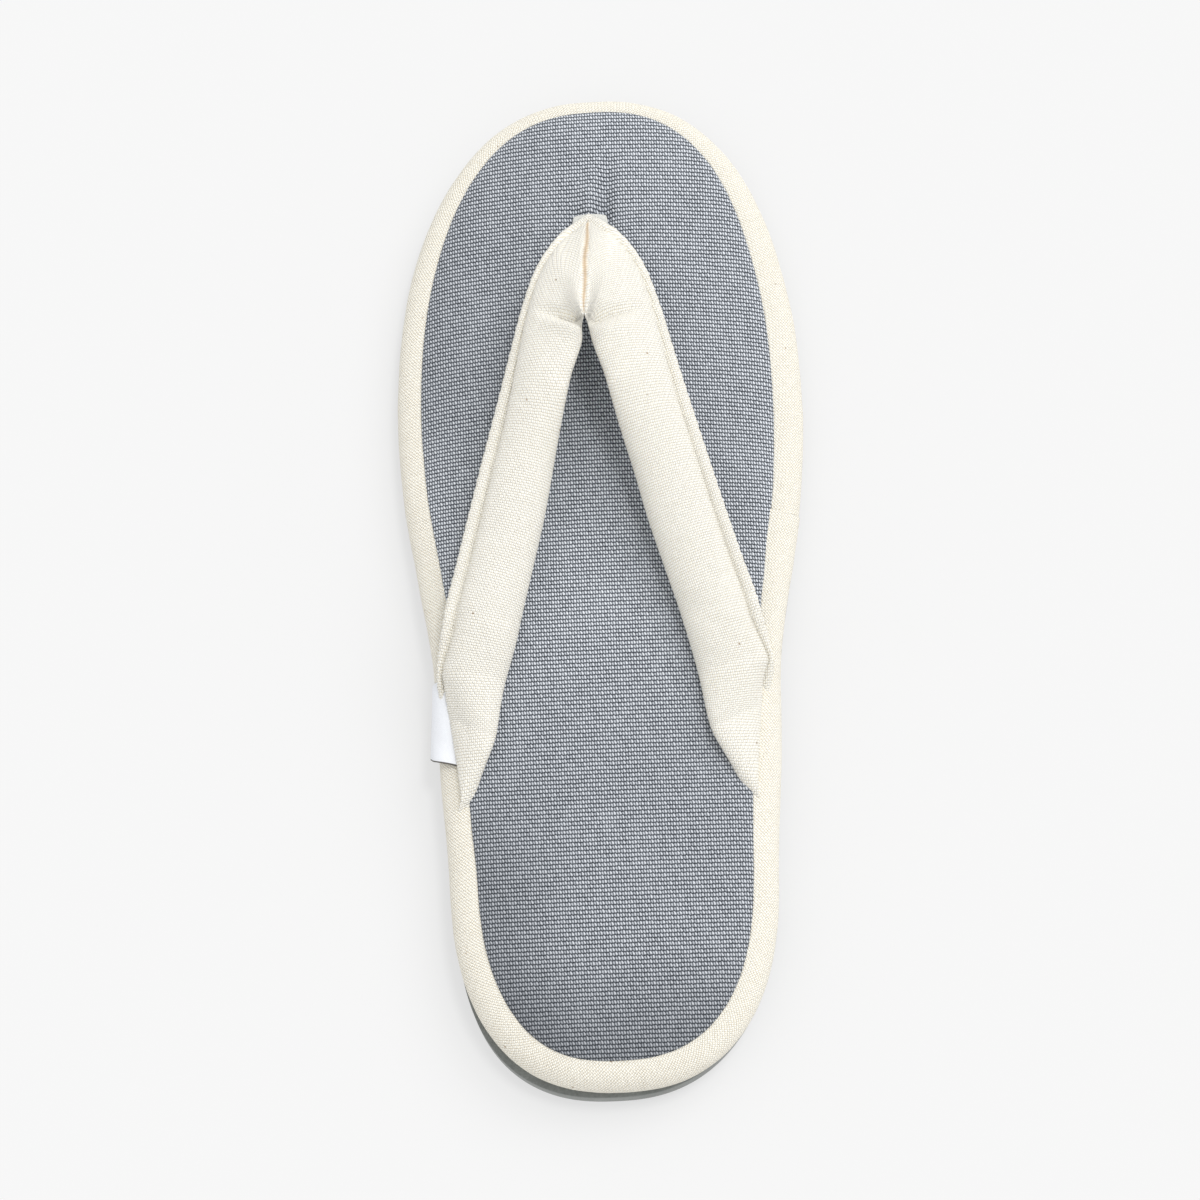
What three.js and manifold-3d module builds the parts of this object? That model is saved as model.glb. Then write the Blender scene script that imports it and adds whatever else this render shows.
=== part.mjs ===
import * as THREE from "three";
import { mergeVertices } from "three/addons/utils/BufferGeometryUtils.js";
import Module from "manifold-3d";

const wasm = await Module();
wasm.setup();

// Soft zori sandal: a padded footbed on a thin sole, a tape bound over its edge, and a padded V strap.
// Millimetres. X is to the right, Y to the toe, Z up. The origin is on the floor under the middle.

// Overall sizes
const LENGTH = 265;
const BALL_WIDTH = 105;
const TOE_SPRING = 3.5;
const ARCH_RISE = 1.0;
const CLEARANCE = 0.3;
const STRAP_POCKET = 0.45;

// Outsole
const SOLE_FORE = 3.0;
const SOLE_HEEL = 6.5;
const SOLE_INSET = 0.3;
const SOLE_ROUND = 0.8;

// Binding tape, wrapped over the edge of the pad and turned in under it
const TAPE_WALL = 1.2;
const TAPE_HEIGHT = 8.5;
const TAPE_WIDTH = 7.5;
const TAPE_SHOULDER = 5.1;
const TAPE_HEM_ROUND = 2.6;
const TAPE_LEG = 5.0;

// Footbed pad
const PAD_CROWN = 1.8;
const PAD_CAMBER = 0.8;
const PAD_ROLL = 10;

// Strap
const STRAP_RISE = 18;
const STRAP_THICK = 7.0;
const STRAP_TOP_SHARE = 0.58;
const FLANGE_WIDTH = 2.7;
const FLANGE_THICK = 1.6;

// Tape under the strap's front point
const TOE_TAPE_WIDTH = 9.4;
const TOE_TAPE_DEPTH = 7.0;
const TOE_TAPE_WALL = 0.8;
const TOE_TAPE_SUNK = 0.3;
const TOE_TAPE_ROUND = 1.0;

// Side label
const LABEL_WALL = 0.6;
const LABEL_LENGTH = 21.5;
const LABEL_FLARE = 1.5;

// Mesh steps
const OUTLINE_POINTS = 88;
const SHOULDER_STEPS = 4;
const HEM_STEPS = 2;
const STRAP_STEPS = 26;
const BODY_STEPS = 6;
const LABEL_STEPS = 6;

// The outline's side line: `at` is a share of the length from the heel, `half` of half the ball width
const SIDE_ROWS = [
  { at: 0.0, half: 0.755 },
  { at: 0.2, half: 0.78 },
  { at: 0.32, half: 0.818 },
  { at: 0.41, half: 0.838 },
  { at: 0.5, half: 0.907 },
  { at: 0.6, half: 0.981 },
  { at: 0.67, half: 1.0 },
  { at: 1.0, half: 1.0 },
];
// Where the round ends begin, and the powers of their curves
const TOE_FROM = 0.67;
const TOE_POWER = 2.2;
const HEEL_TO = 0.2;
const HEEL_POWER = 2.5;
const END_ROOT = 2.4;

// The sole from the side: shares of the heel's extra thickness, of the arch rise and of the toe spring
const SOLE_ROWS = [
  { at: 0.0, heel: 1.0, arch: 0, spring: 0 },
  { at: 0.12, heel: 1.0, arch: 0, spring: 0 },
  { at: 0.28, heel: 0.88, arch: 0, spring: 0 },
  { at: 0.42, heel: 0.5, arch: 1, spring: 0 },
  { at: 0.56, heel: 0.12, arch: 0, spring: 0 },
  { at: 0.66, heel: 0, arch: 0, spring: 0 },
  { at: 0.76, heel: 0, arch: 0, spring: 0 },
  { at: 0.88, heel: 0, arch: 0, spring: 0.28 },
  { at: 1.0, heel: 0, arch: 0, spring: 1 },
];

// How far the tape reaches in from the edge on each side, in shares of its width.
// It is pushed out to a narrow lip where the strap's ends go under it.
const LIP_ROWS = [
  { at: 0.0, left: 0.88, right: 0.88 },
  { at: 0.08, left: 0.98, right: 0.84 },
  { at: 0.2, left: 0.97, right: 0.82 },
  { at: 0.265, left: 0.92, right: 0.84 },
  { at: 0.4, left: 0.36, right: 0.36 },
  { at: 0.46, left: 0.84, right: 0.84 },
  { at: 0.56, left: 0.86, right: 0.92 },
  { at: 0.68, left: 0.87, right: 1.0 },
  { at: 0.82, left: 0.86, right: 0.95 },
  { at: 0.94, left: 0.72, right: 0.76 },
  { at: 1.0, left: 0.64, right: 0.64 },
];

// The strap's right arm, from the front seam to the tail. outerX and innerX are shares of half the
// ball width and outerY and innerY of the length from the heel. The rises are shares of the strap's
// rise above its seat, puff of its thickness, and the tucks say how far an edge is under the tape.
const STRAP_ROWS = [
  { at: 0.0, outerX: 0.0, outerY: 0.866, innerX: 0.0, innerY: 0.735, outerRise: 0.0, innerRise: 1.0,
    puff: 0.62, outerTuck: 0, innerTuck: 0 },
  { at: 0.06, outerX: 0.143, outerY: 0.843, innerX: 0.017, innerY: 0.725, outerRise: 0.1, innerRise: 1.0,
    puff: 0.76, outerTuck: 0, innerTuck: 0 },
  { at: 0.13, outerX: 0.248, outerY: 0.808, innerX: 0.038, innerY: 0.709, outerRise: 0.26, innerRise: 0.985,
    puff: 0.9, outerTuck: 0, innerTuck: 0 },
  { at: 0.2, outerX: 0.32, outerY: 0.762, innerX: 0.069, innerY: 0.687, outerRise: 0.42, innerRise: 0.95,
    puff: 1.0, outerTuck: 0, innerTuck: 0 },
  { at: 0.27, outerX: 0.377, outerY: 0.715, innerX: 0.099, innerY: 0.662, outerRise: 0.52, innerRise: 0.9,
    puff: 1.0, outerTuck: 0, innerTuck: 0 },
  { at: 0.35, outerX: 0.442, outerY: 0.664, innerX: 0.133, innerY: 0.634, outerRise: 0.55, innerRise: 0.82,
    puff: 1.0, outerTuck: 0, innerTuck: 0 },
  { at: 0.43, outerX: 0.514, outerY: 0.611, innerX: 0.177, innerY: 0.596, outerRise: 0.52, innerRise: 0.7,
    puff: 1.0, outerTuck: 0, innerTuck: 0 },
  { at: 0.52, outerX: 0.594, outerY: 0.553, innerX: 0.234, innerY: 0.545, outerRise: 0.44, innerRise: 0.55,
    puff: 1.0, outerTuck: 0, innerTuck: 0 },
  { at: 0.61, outerX: 0.674, outerY: 0.498, innerX: 0.309, innerY: 0.492, outerRise: 0.33, innerRise: 0.4,
    puff: 1.0, outerTuck: 0, innerTuck: 0 },
  { at: 0.69, outerX: 0.743, outerY: 0.453, innerX: 0.377, innerY: 0.445, outerRise: 0.2, innerRise: 0.28,
    puff: 1.0, outerTuck: 0, innerTuck: 0 },
  { at: 0.77, outerX: 0.787, outerY: 0.406, innerX: 0.442, innerY: 0.391, outerRise: 0.04, innerRise: 0.18,
    puff: 0.96, outerTuck: 0.3, innerTuck: 0 },
  { at: 0.85, outerX: 0.775, outerY: 0.364, innerX: 0.495, innerY: 0.334, outerRise: 0, innerRise: 0.12,
    puff: 0.82, outerTuck: 1, innerTuck: 0 },
  { at: 0.93, outerX: 0.739, outerY: 0.319, innerX: 0.571, innerY: 0.296, outerRise: 0, innerRise: 0.05,
    puff: 0.6, outerTuck: 1, innerTuck: 0.3 },
  { at: 1.0, outerX: 0.706, outerY: 0.287, innerX: 0.652, innerY: 0.265, outerRise: 0, innerRise: 0,
    puff: 0.4, outerTuck: 1, innerTuck: 1 },
];

// Smooth curve through one column of a table, never overshooting its rows
function column(rows, name) {
  const slopes = rows.slice(1).map((row, i) => (row[name] - rows[i][name]) / (row.at - rows[i].at));
  const tangents = rows.map((row, i) => {
    if (i === 0 || i === rows.length - 1) return slopes[Math.min(i, slopes.length - 1)];
    const before = slopes[i - 1];
    const after = slopes[i];
    return before * after <= 0 ? 0 : (2 * before * after) / (before + after);
  });
  return (at) => {
    const last = rows.length - 2;
    let i = 0;
    while (i < last && at > rows[i + 1].at) i += 1;
    const span = rows[i + 1].at - rows[i].at;
    const t = THREE.MathUtils.clamp((at - rows[i].at) / span, 0, 1);
    const ease = t * t * (3 - 2 * t);
    const lead = t * (1 - t) * (1 - t) * span * tangents[i];
    const trail = t * t * (t - 1) * span * tangents[i + 1];
    return rows[i][name] * (1 - ease) + rows[i + 1][name] * ease + lead + trail;
  };
}

// The outline
const sideHalf = column(SIDE_ROWS, "half");

function shareOf(y) {
  return y / LENGTH + 0.5;
}

function halfWidth(y) {
  const share = THREE.MathUtils.clamp(shareOf(y), 0, 1);
  const toe = Math.max(0, (share - TOE_FROM) / (1 - TOE_FROM));
  const heel = Math.max(0, (HEEL_TO - share) / HEEL_TO);
  const ends = (1 - toe ** TOE_POWER) * (1 - heel ** HEEL_POWER);
  return (BALL_WIDTH / 2) * sideHalf(share) * ends ** (1 / END_ROOT);
}

// Points of the outline at even steps of its length, from the toe round the right side, with normals
function outlinePoints(count) {
  const fine = 4000;
  const right = [];
  for (let i = 0; i <= fine; i += 1) {
    const y = (LENGTH / 2) * Math.cos((Math.PI * i) / fine);
    right.push(new THREE.Vector2(halfWidth(y), y));
  }
  const run = [0];
  for (let i = 1; i <= fine; i += 1) run.push(run[i - 1] + right[i].distanceTo(right[i - 1]));
  const half = count / 2;
  const side = [];
  for (let k = 0, i = 0; k <= half; k += 1) {
    const target = (run[fine] * k) / half;
    while (i < fine - 1 && run[i + 1] < target) i += 1;
    const t = (target - run[i]) / (run[i + 1] - run[i]);
    const point = right[i].clone().lerp(right[i + 1], t);
    const tangent = right[i + 1].clone().sub(right[i]).normalize();
    const tip = k === 0 || k === half;
    const normal = tip ? new THREE.Vector2(0, Math.sign(point.y)) : new THREE.Vector2(-tangent.y, tangent.x);
    side.push({ x: tip ? 0 : point.x, y: point.y, nx: normal.x, ny: normal.y });
  }
  const left = side.slice(1, half).reverse().map((p) => ({ x: -p.x, y: p.y, nx: -p.nx, ny: p.ny }));
  return side.concat(left);
}

const outline = outlinePoints(OUTLINE_POINTS);

// Heights along the sole
const heelShare = column(SOLE_ROWS, "heel");
const archShare = column(SOLE_ROWS, "arch");
const springShare = column(SOLE_ROWS, "spring");
const lipLeft = column(LIP_ROWS, "left");
const lipRight = column(LIP_ROWS, "right");

function undersideZ(y) {
  return ARCH_RISE * archShare(shareOf(y)) + TOE_SPRING * springShare(shareOf(y));
}

function soleTopZ(y) {
  return undersideZ(y) + SOLE_FORE + (SOLE_HEEL - SOLE_FORE) * heelShare(shareOf(y));
}

function padBaseZ(y) {
  return soleTopZ(y) + CLEARANCE;
}

function footZ(y) {
  return padBaseZ(y) + TAPE_HEIGHT + PAD_CROWN;
}

function lipInset(point) {
  const share = shareOf(point.y);
  return TAPE_WIDTH * (point.x < 0 ? lipLeft(share) : lipRight(share));
}

// Closed solids from rows of points
// Each row is a closed loop. `wrap` joins the last row to the first, `cap` is the flat outline that
// fills both end rows, and with neither the end rows fold shut along a line. Quads split along the
// shorter diagonal, so surfaces that follow each other split alike.
function loft(rows, { wrap = false, cap = null } = {}) {
  const count = rows[0].length;
  const points = rows.flat();
  const index = [];
  const last = wrap ? rows.length : rows.length - 1;
  for (let r = 0; r < last; r += 1) {
    const near = r * count;
    const far = ((r + 1) % rows.length) * count;
    for (let i = 0; i < count; i += 1) {
      const j = (i + 1) % count;
      const quad = [near + i, near + j, far + j, far + i];
      const [a, b, c, d] = quad.map((k) => points[k]);
      const split = a.distanceTo(c) <= b.distanceTo(d) ? [0, 1, 2, 0, 2, 3] : [0, 1, 3, 1, 2, 3];
      index.push(...split.map((k) => quad[k]));
    }
  }
  if (cap) {
    const end = (rows.length - 1) * count;
    for (const [a, b, c] of capTriangles(cap)) {
      index.push(c, b, a, end + a, end + b, end + c);
    }
  }
  return solid(points, index);
}

// Triangles that fill a flat outline, turning the same way round as the outline does
function capTriangles(cap) {
  const turn = Math.sign(THREE.ShapeUtils.area(cap));
  return THREE.ShapeUtils.triangulateShape(cap.slice(), []).map(([a, b, c]) => {
    const same = Math.sign(THREE.ShapeUtils.area([cap[a], cap[b], cap[c]])) === turn;
    return same ? [a, b, c] : [a, c, b];
  });
}

function signedVolume(points, index) {
  const cross = new THREE.Vector3();
  let volume = 0;
  for (let i = 0; i < index.length; i += 3) {
    const [a, b, c] = [points[index[i]], points[index[i + 1]], points[index[i + 2]]];
    volume += a.dot(cross.crossVectors(b, c)) / 6;
  }
  return volume;
}

function solid(points, index) {
  const order = signedVolume(points, index) < 0 ? index.slice().reverse() : index;
  const geometry = new THREE.BufferGeometry().setFromPoints(points);
  geometry.setIndex(order);
  return toManifold(geometry);
}

function toManifold(geometry) {
  const bare = geometry.clone();
  bare.deleteAttribute("normal");
  bare.deleteAttribute("uv");
  const merged = mergeVertices(bare, 1e-3);
  const source = merged.index.array;
  const triangles = [];
  for (let i = 0; i < source.length; i += 3) {
    const [a, b, c] = [source[i], source[i + 1], source[i + 2]];
    if (a !== b && b !== c && c !== a) triangles.push(a, b, c);
  }
  return new wasm.Manifold(new wasm.Mesh({
    numProp: 3,
    vertProperties: new Float32Array(merged.attributes.position.array),
    triVerts: new Uint32Array(triangles),
  }));
}

// The largest body left by a cut, without the slivers that a pocket frees at its edge
function mainBody(manifold) {
  return manifold.decompose().reduce((best, body) => (body.volume() > best.volume() ? body : best));
}

function toGeometry(manifold) {
  const mesh = manifold.getMesh();
  const geometry = new THREE.BufferGeometry();
  geometry.setAttribute("position", new THREE.BufferAttribute(new Float32Array(mesh.vertProperties), 3));
  geometry.setIndex(new THREE.BufferAttribute(new Uint32Array(mesh.triVerts), 1));
  geometry.computeVertexNormals();
  return geometry;
}

// One ring round the shoe. `place` gives an inset from the outline and a height function of y.
function ring(place) {
  return outline.map((p) => {
    const { inset, z } = place(p);
    const y = p.y - p.ny * inset;
    return new THREE.Vector3(p.x - p.nx * inset, y, z(y));
  });
}

// Rings that run from `edge` in to a line along the middle, ending on that line
const SPINE_SHARE = 0.7;
const INWARD_STEPS = [0.35, 0.7, 1.0];

function inwardRings(edge, z) {
  return INWARD_STEPS.map((step) =>
    edge.map((from, i) => {
      const x = THREE.MathUtils.lerp(from.x, 0, step);
      const y = THREE.MathUtils.lerp(from.y, outline[i].y * SPINE_SHARE, step);
      return new THREE.Vector3(x, y, z(y, step));
    }),
  );
}

// Outsole
function outsole() {
  const under = ring(() => ({ inset: SOLE_INSET + SOLE_ROUND, z: undersideZ }));
  const heel = ring(() => ({ inset: SOLE_INSET, z: (y) => undersideZ(y) + SOLE_ROUND }));
  const top = ring(() => ({ inset: SOLE_INSET, z: soleTopZ }));
  const legLine = ring(() => ({ inset: TAPE_LEG + CLEARANCE, z: soleTopZ }));
  const rows = [
    ...inwardRings(under, undersideZ).reverse(),
    under,
    heel,
    top,
    legLine,
    ...inwardRings(legLine, soleTopZ),
  ];
  return loft(rows);
}

// Section of the wrapped edge, from the lip over the shoulder to the hem under the pad, as
// [inset, height] pairs. `depth` is how far inside the tape's outer surface it runs.
function edgeSection(lip, depth) {
  const points = [];
  for (let i = 0; i <= SHOULDER_STEPS; i += 1) {
    const angle = (Math.PI / 2) * (1 - i / SHOULDER_STEPS);
    const inset = lip - (lip - depth) * Math.cos(angle);
    points.push([inset, TAPE_HEIGHT - TAPE_SHOULDER + (TAPE_SHOULDER - depth) * Math.sin(angle)]);
  }
  for (let i = 0; i <= HEM_STEPS; i += 1) {
    const angle = (Math.PI / 2) * (i / HEM_STEPS);
    const radius = TAPE_HEM_ROUND - depth;
    points.push([TAPE_HEM_ROUND - radius * Math.cos(angle), TAPE_HEM_ROUND - radius * Math.sin(angle)]);
  }
  return points;
}

// Binding
function edgeBinding() {
  const rows = outline.map((p) => {
    const lip = lipInset(p);
    const outer = [...edgeSection(lip, 0), [TAPE_LEG, 0]];
    const inner = [...edgeSection(lip, TAPE_WALL), [TAPE_LEG, TAPE_WALL]];
    return [...outer, ...inner.reverse()].map(([inset, height]) => {
      const y = p.y - p.ny * inset;
      return new THREE.Vector3(p.x - p.nx * inset, y, padBaseZ(y) + height);
    });
  });
  return loft(rows, { wrap: true });
}

// Footbed
const ROLL_STEPS = [1.0, 0.65, 0.35, 0.12, 0.0];

function footbed() {
  const depth = TAPE_WALL + CLEARANCE;
  const rise = depth + PAD_CROWN;
  const rollRings = ROLL_STEPS.map((step) =>
    ring((p) => ({
      inset: lipInset(p) + CLEARANCE + PAD_ROLL * step,
      z: (y) => footZ(y) - rise + rise * Math.sqrt(1 - (1 - step) ** 2),
    })),
  );
  const sectionPoints = edgeSection(TAPE_WIDTH, depth).length;
  const edgeRings = [];
  for (let k = 0; k < sectionPoints; k += 1) {
    edgeRings.push(ring((p) => {
      const [inset, height] = edgeSection(lipInset(p), depth)[k];
      return { inset, z: (y) => padBaseZ(y) + height };
    }));
  }
  const legTop = ring(() => ({ inset: TAPE_LEG + CLEARANCE, z: (y) => padBaseZ(y) + depth }));
  const legLine = ring(() => ({ inset: TAPE_LEG + CLEARANCE, z: padBaseZ }));
  const cambered = (y, step) => footZ(y) + PAD_CAMBER * (1 - (1 - step) ** 2);
  const rows = [
    ...inwardRings(rollRings[0], cambered).reverse(),
    ...rollRings,
    ...edgeRings,
    legTop,
    legLine,
    ...inwardRings(legLine, padBaseZ),
  ];
  return loft(rows);
}

// Strap
const strapColumns = Object.fromEntries(
  Object.keys(STRAP_ROWS[0]).filter((name) => name !== "at").map((name) => [name, column(STRAP_ROWS, name)]),
);

// Height of the flange's middle where it rests on the toe tape
function seatZ(y) {
  return footZ(y) + PAD_CAMBER + TOE_TAPE_WALL - TOE_TAPE_SUNK + CLEARANCE + FLANGE_THICK / 2;
}

// Height of the flange's middle where it is under the tape's lip
function tuckZ(y) {
  return padBaseZ(y) + TAPE_HEIGHT - TAPE_WALL - CLEARANCE - FLANGE_THICK / 2;
}

function strapEdge(at, edge) {
  const x = (BALL_WIDTH / 2) * strapColumns[`${edge}X`](at);
  const y = LENGTH * (strapColumns[`${edge}Y`](at) - 0.5);
  const free = seatZ(y) + STRAP_RISE * strapColumns[`${edge}Rise`](at);
  return new THREE.Vector3(x, y, THREE.MathUtils.lerp(free, tuckZ(y), strapColumns[`${edge}Tuck`](at)));
}

function strapMiddle(at) {
  const middle = strapEdge(Math.abs(at), "outer").add(strapEdge(Math.abs(at), "inner")).multiplyScalar(0.5);
  return at < 0 ? middle.setX(-middle.x) : middle;
}

// Section across the strap: [along its width from the outer edge, height] pairs round the section.
// `grow` thickens it and `spread` widens it at each edge.
function strapSection(width, thick, grow, spread) {
  const body = (width - FLANGE_WIDTH) / 2;
  const centre = FLANGE_WIDTH + body;
  const top = thick * STRAP_TOP_SHARE + grow;
  const bottom = thick * (1 - STRAP_TOP_SHARE) + grow;
  const flange = FLANGE_THICK / 2 + grow;
  const points = [[-spread, flange], [FLANGE_WIDTH, flange]];
  for (let i = 1; i < 2 * BODY_STEPS; i += 1) {
    const angle = Math.PI * (1 - i / BODY_STEPS);
    const height = Math.sin(angle) * (angle > 0 ? top : bottom);
    points.push([centre + (body + spread) * Math.cos(angle), height]);
  }
  points.push([FLANGE_WIDTH, -flange], [-spread, -flange]);
  return points;
}

function strap(grow = 0) {
  const rows = [];
  const delta = 0.5 / STRAP_STEPS;
  let cap = null;
  for (let i = -STRAP_STEPS; i <= STRAP_STEPS; i += 1) {
    const at = Math.abs(i) / STRAP_STEPS;
    const side = i < 0 ? -1 : 1;
    const outer = strapEdge(at, "outer");
    const inner = strapEdge(at, "inner");
    const ahead = strapMiddle(Math.min(at + delta, 1)).sub(strapMiddle(Math.min(at, 1 - delta) - delta));
    const across = inner.clone().sub(outer);
    const width = across.length();
    across.normalize();
    const up = across.clone().cross(ahead.normalize());
    const spread = grow / up.length();
    up.normalize();
    const section = strapSection(width, STRAP_THICK * strapColumns.puff(at), grow, spread);
    const overrun = ahead.multiplyScalar(at === 1 ? spread : 0);
    rows.push(section.map(([along, height]) => {
      const point = outer.clone().addScaledVector(across, along).addScaledVector(up, height).add(overrun);
      return point.setX(side * point.x);
    }));
    cap = section.map(([along, height]) => new THREE.Vector2(along, height));
  }
  return loft(rows, { cap });
}

// Toe tape
function toeTapePlate(grow) {
  const shape = new THREE.Shape();
  const [w, d, r] = [TOE_TAPE_WIDTH / 2 + grow, TOE_TAPE_DEPTH / 2 + grow, TOE_TAPE_ROUND];
  shape.moveTo(-w + r, -d);
  shape.lineTo(w - r, -d).absarc(w - r, -d + r, r, -Math.PI / 2, 0);
  shape.lineTo(w, d - r).absarc(w - r, d - r, r, 0, Math.PI / 2);
  shape.lineTo(-w + r, d).absarc(-w + r, d - r, r, Math.PI / 2, Math.PI);
  shape.lineTo(-w, -d + r).absarc(-w + r, -d + r, r, Math.PI, 1.5 * Math.PI);
  const thick = TOE_TAPE_WALL + 2 * grow;
  const geometry = new THREE.ExtrudeGeometry(shape, { depth: thick, bevelEnabled: false, curveSegments: 3 });
  const apexY = strapEdge(0, "outer").y;
  const y = apexY - TOE_TAPE_DEPTH / 2 + CLEARANCE * 2;
  const slope = Math.atan((footZ(y + 1) - footZ(y - 1)) / 2);
  geometry.translate(0, 0, -grow);
  geometry.rotateX(slope);
  geometry.translate(0, y, footZ(y) + PAD_CAMBER - TOE_TAPE_SUNK);
  return toManifold(geometry);
}

// Side label, over the binding on the left, behind the strap's outer corner
function sideLabel() {
  const corner = STRAP_ROWS.find((row) => row.outerTuck > 0);
  const front = LENGTH * (corner.outerY - 0.5);
  const rows = [];
  let cap = null;
  for (let i = 0; i <= LABEL_STEPS; i += 1) {
    const down = i / LABEL_STEPS;
    const y = front - LABEL_LENGTH * down;
    const slope = (halfWidth(y + 0.5) - halfWidth(y - 0.5));
    const normal = new THREE.Vector2(-1, -slope).normalize();
    const lip = lipInset({ x: -1, y });
    const surface = (depth) =>
      edgeSection(lip, depth).slice(0, SHOULDER_STEPS + 1).map(([inset, height], k) => {
        const flare = LABEL_FLARE * down * (k / SHOULDER_STEPS) ** 2;
        return new THREE.Vector2(inset - flare, height);
      });
    const loop = [...surface(-CLEARANCE), ...surface(-CLEARANCE - LABEL_WALL).reverse()];
    rows.push(loop.map(({ x: inset, y: height }) => {
      const px = -halfWidth(y) - normal.x * inset;
      const py = y - normal.y * inset;
      return new THREE.Vector3(px, py, padBaseZ(py) + height);
    }));
    cap = loop;
  }
  return loft(rows, { cap });
}

// Assembly
const looks = {
  outsole: { color: 0x7d827f, roughness: 0.95 },
  footbed: { color: 0x8790a0, roughness: 0.9 },
  edge_binding: { color: 0xf3ecda, roughness: 0.9 },
  strap: { color: 0xf7f1e0, roughness: 0.9 },
  toe_tape: { color: 0xd9d9d6, roughness: 0.85 },
  side_label: { color: 0xeceff4, roughness: 0.8 },
};

const strapRoom = strap(STRAP_POCKET);
const plateRoom = toeTapePlate(CLEARANCE);
const solids = {
  outsole: outsole(),
  footbed: mainBody(footbed().subtract(strapRoom).subtract(plateRoom)),
  edge_binding: mainBody(edgeBinding().subtract(strapRoom)),
  strap: strap(),
  toe_tape: toeTapePlate(0),
  side_label: mainBody(sideLabel().subtract(strapRoom)),
};

const zori = new THREE.Group();
for (const [name, manifold] of Object.entries(solids)) {
  const look = looks[name];
  const material = new THREE.MeshStandardMaterial({ ...look, metalness: 0 });
  const mesh = new THREE.Mesh(toGeometry(manifold), material);
  mesh.name = name;
  zori.add(mesh);
}

export default zori;
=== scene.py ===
import math

import bmesh
import bpy
import numpy as np
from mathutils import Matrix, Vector, noise


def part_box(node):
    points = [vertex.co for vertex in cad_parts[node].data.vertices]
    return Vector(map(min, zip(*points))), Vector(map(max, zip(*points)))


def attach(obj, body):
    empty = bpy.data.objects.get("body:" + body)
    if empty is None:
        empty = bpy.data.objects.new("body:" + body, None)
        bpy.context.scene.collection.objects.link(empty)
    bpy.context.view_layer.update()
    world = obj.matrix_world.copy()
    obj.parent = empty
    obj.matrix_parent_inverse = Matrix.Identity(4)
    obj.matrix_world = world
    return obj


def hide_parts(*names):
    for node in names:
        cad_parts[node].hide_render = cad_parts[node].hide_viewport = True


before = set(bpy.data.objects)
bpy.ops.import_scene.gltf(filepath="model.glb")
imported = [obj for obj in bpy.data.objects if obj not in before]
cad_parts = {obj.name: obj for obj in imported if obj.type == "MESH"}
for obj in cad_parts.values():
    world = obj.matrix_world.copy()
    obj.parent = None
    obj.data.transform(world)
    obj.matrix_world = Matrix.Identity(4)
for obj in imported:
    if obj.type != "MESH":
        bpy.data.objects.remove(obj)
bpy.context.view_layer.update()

# Soft zori sandal: canvas footbed, bias binding, padded V strap, suede sole.
# Shapes are worked out in millimetres and scaled to metres when a mesh is made.
MM = 0.001


def node_box(name):
    low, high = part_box(name)
    return np.array(low) / MM, np.array(high) / MM


# Sizes read from the frame
BINDING_LOW, BINDING_HIGH = node_box("edge_binding")
SOLE_LOW, SOLE_HIGH = node_box("outsole")
LENGTH = BINDING_HIGH[1] - BINDING_LOW[1]
BALL_WIDTH = BINDING_HIGH[0] - BINDING_LOW[0]
SOLE_HEEL = SOLE_HIGH[2] - SOLE_LOW[2]

# Sizes that the CAD pieces share
TOE_SPRING = 3.5
ARCH_RISE = 1.0
CLEARANCE = 0.3
SOLE_FORE = 3.0
SOLE_INSET = 0.3
SOLE_ROUND = 0.8
TAPE_WALL = 1.2
TAPE_HEIGHT = 8.5
TAPE_WIDTH = 7.5
TAPE_SHOULDER = 5.1
TAPE_HEM_ROUND = 2.6
TAPE_LEG = 5.0
PAD_CROWN = 1.8
PAD_CAMBER = 0.8
PAD_ROLL = 10.0
STRAP_RISE = 18.0
STRAP_THICK = 7.0
STRAP_TOP_SHARE = 0.58
FLANGE_THICK = 1.6
TOE_TAPE_WALL = 0.8
TOE_TAPE_SUNK = 0.3
TOE_TAPE_DEPTH = 7.0
TOE_TAPE_WIDTH = 9.4
LABEL_LENGTH = 21.5
LABEL_WALL = 0.45

# Sizes of the soft covers: the cloth lies closer to its tape than the CAD pad
PAD_CREASE = 1.7
STITCH = 2.9
STRAP_PLUMP = 1.18
FLANGE_SHOWN = 3.1

# How far the pieces lie from their places in the CAD part, as the photograph shows them
TOE_LEAN = 1.0
HEEL_SHIFT_LEFT = 1.9
HEEL_SHIFT_BACK = 0.8
TOE_TAPE_SHIFT = 0.8

# The label's free end: how far it flares out, lifts and hangs askew, in mm
LABEL_FLARE = 1.5
LABEL_LIFT = 0.9
LABEL_ASKEW = 4.4

# Camera: where the photograph was taken from, in the shoe's own frame
CAMERA_PLACE = (0.0401, -0.311, 0.9346)
CAMERA_TARGET = (-0.0014, -0.0054, 0.008)
CAMERA_ROLL = math.radians(1.72)
CAMERA_LENS = 115.0

# The outline's side line: `at` is a share of the length from the heel, `half` of half the ball width
SIDE_ROWS = [
    {"at": 0.0, "half": 0.755},
    {"at": 0.2, "half": 0.78},
    {"at": 0.32, "half": 0.818},
    {"at": 0.41, "half": 0.838},
    {"at": 0.5, "half": 0.907},
    {"at": 0.6, "half": 0.981},
    {"at": 0.67, "half": 1.0},
    {"at": 1.0, "half": 1.0},
]
TOE_FROM = 0.67
TOE_POWER = 2.2
HEEL_TO = 0.2
HEEL_POWER = 2.5
END_ROOT = 2.4

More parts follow.
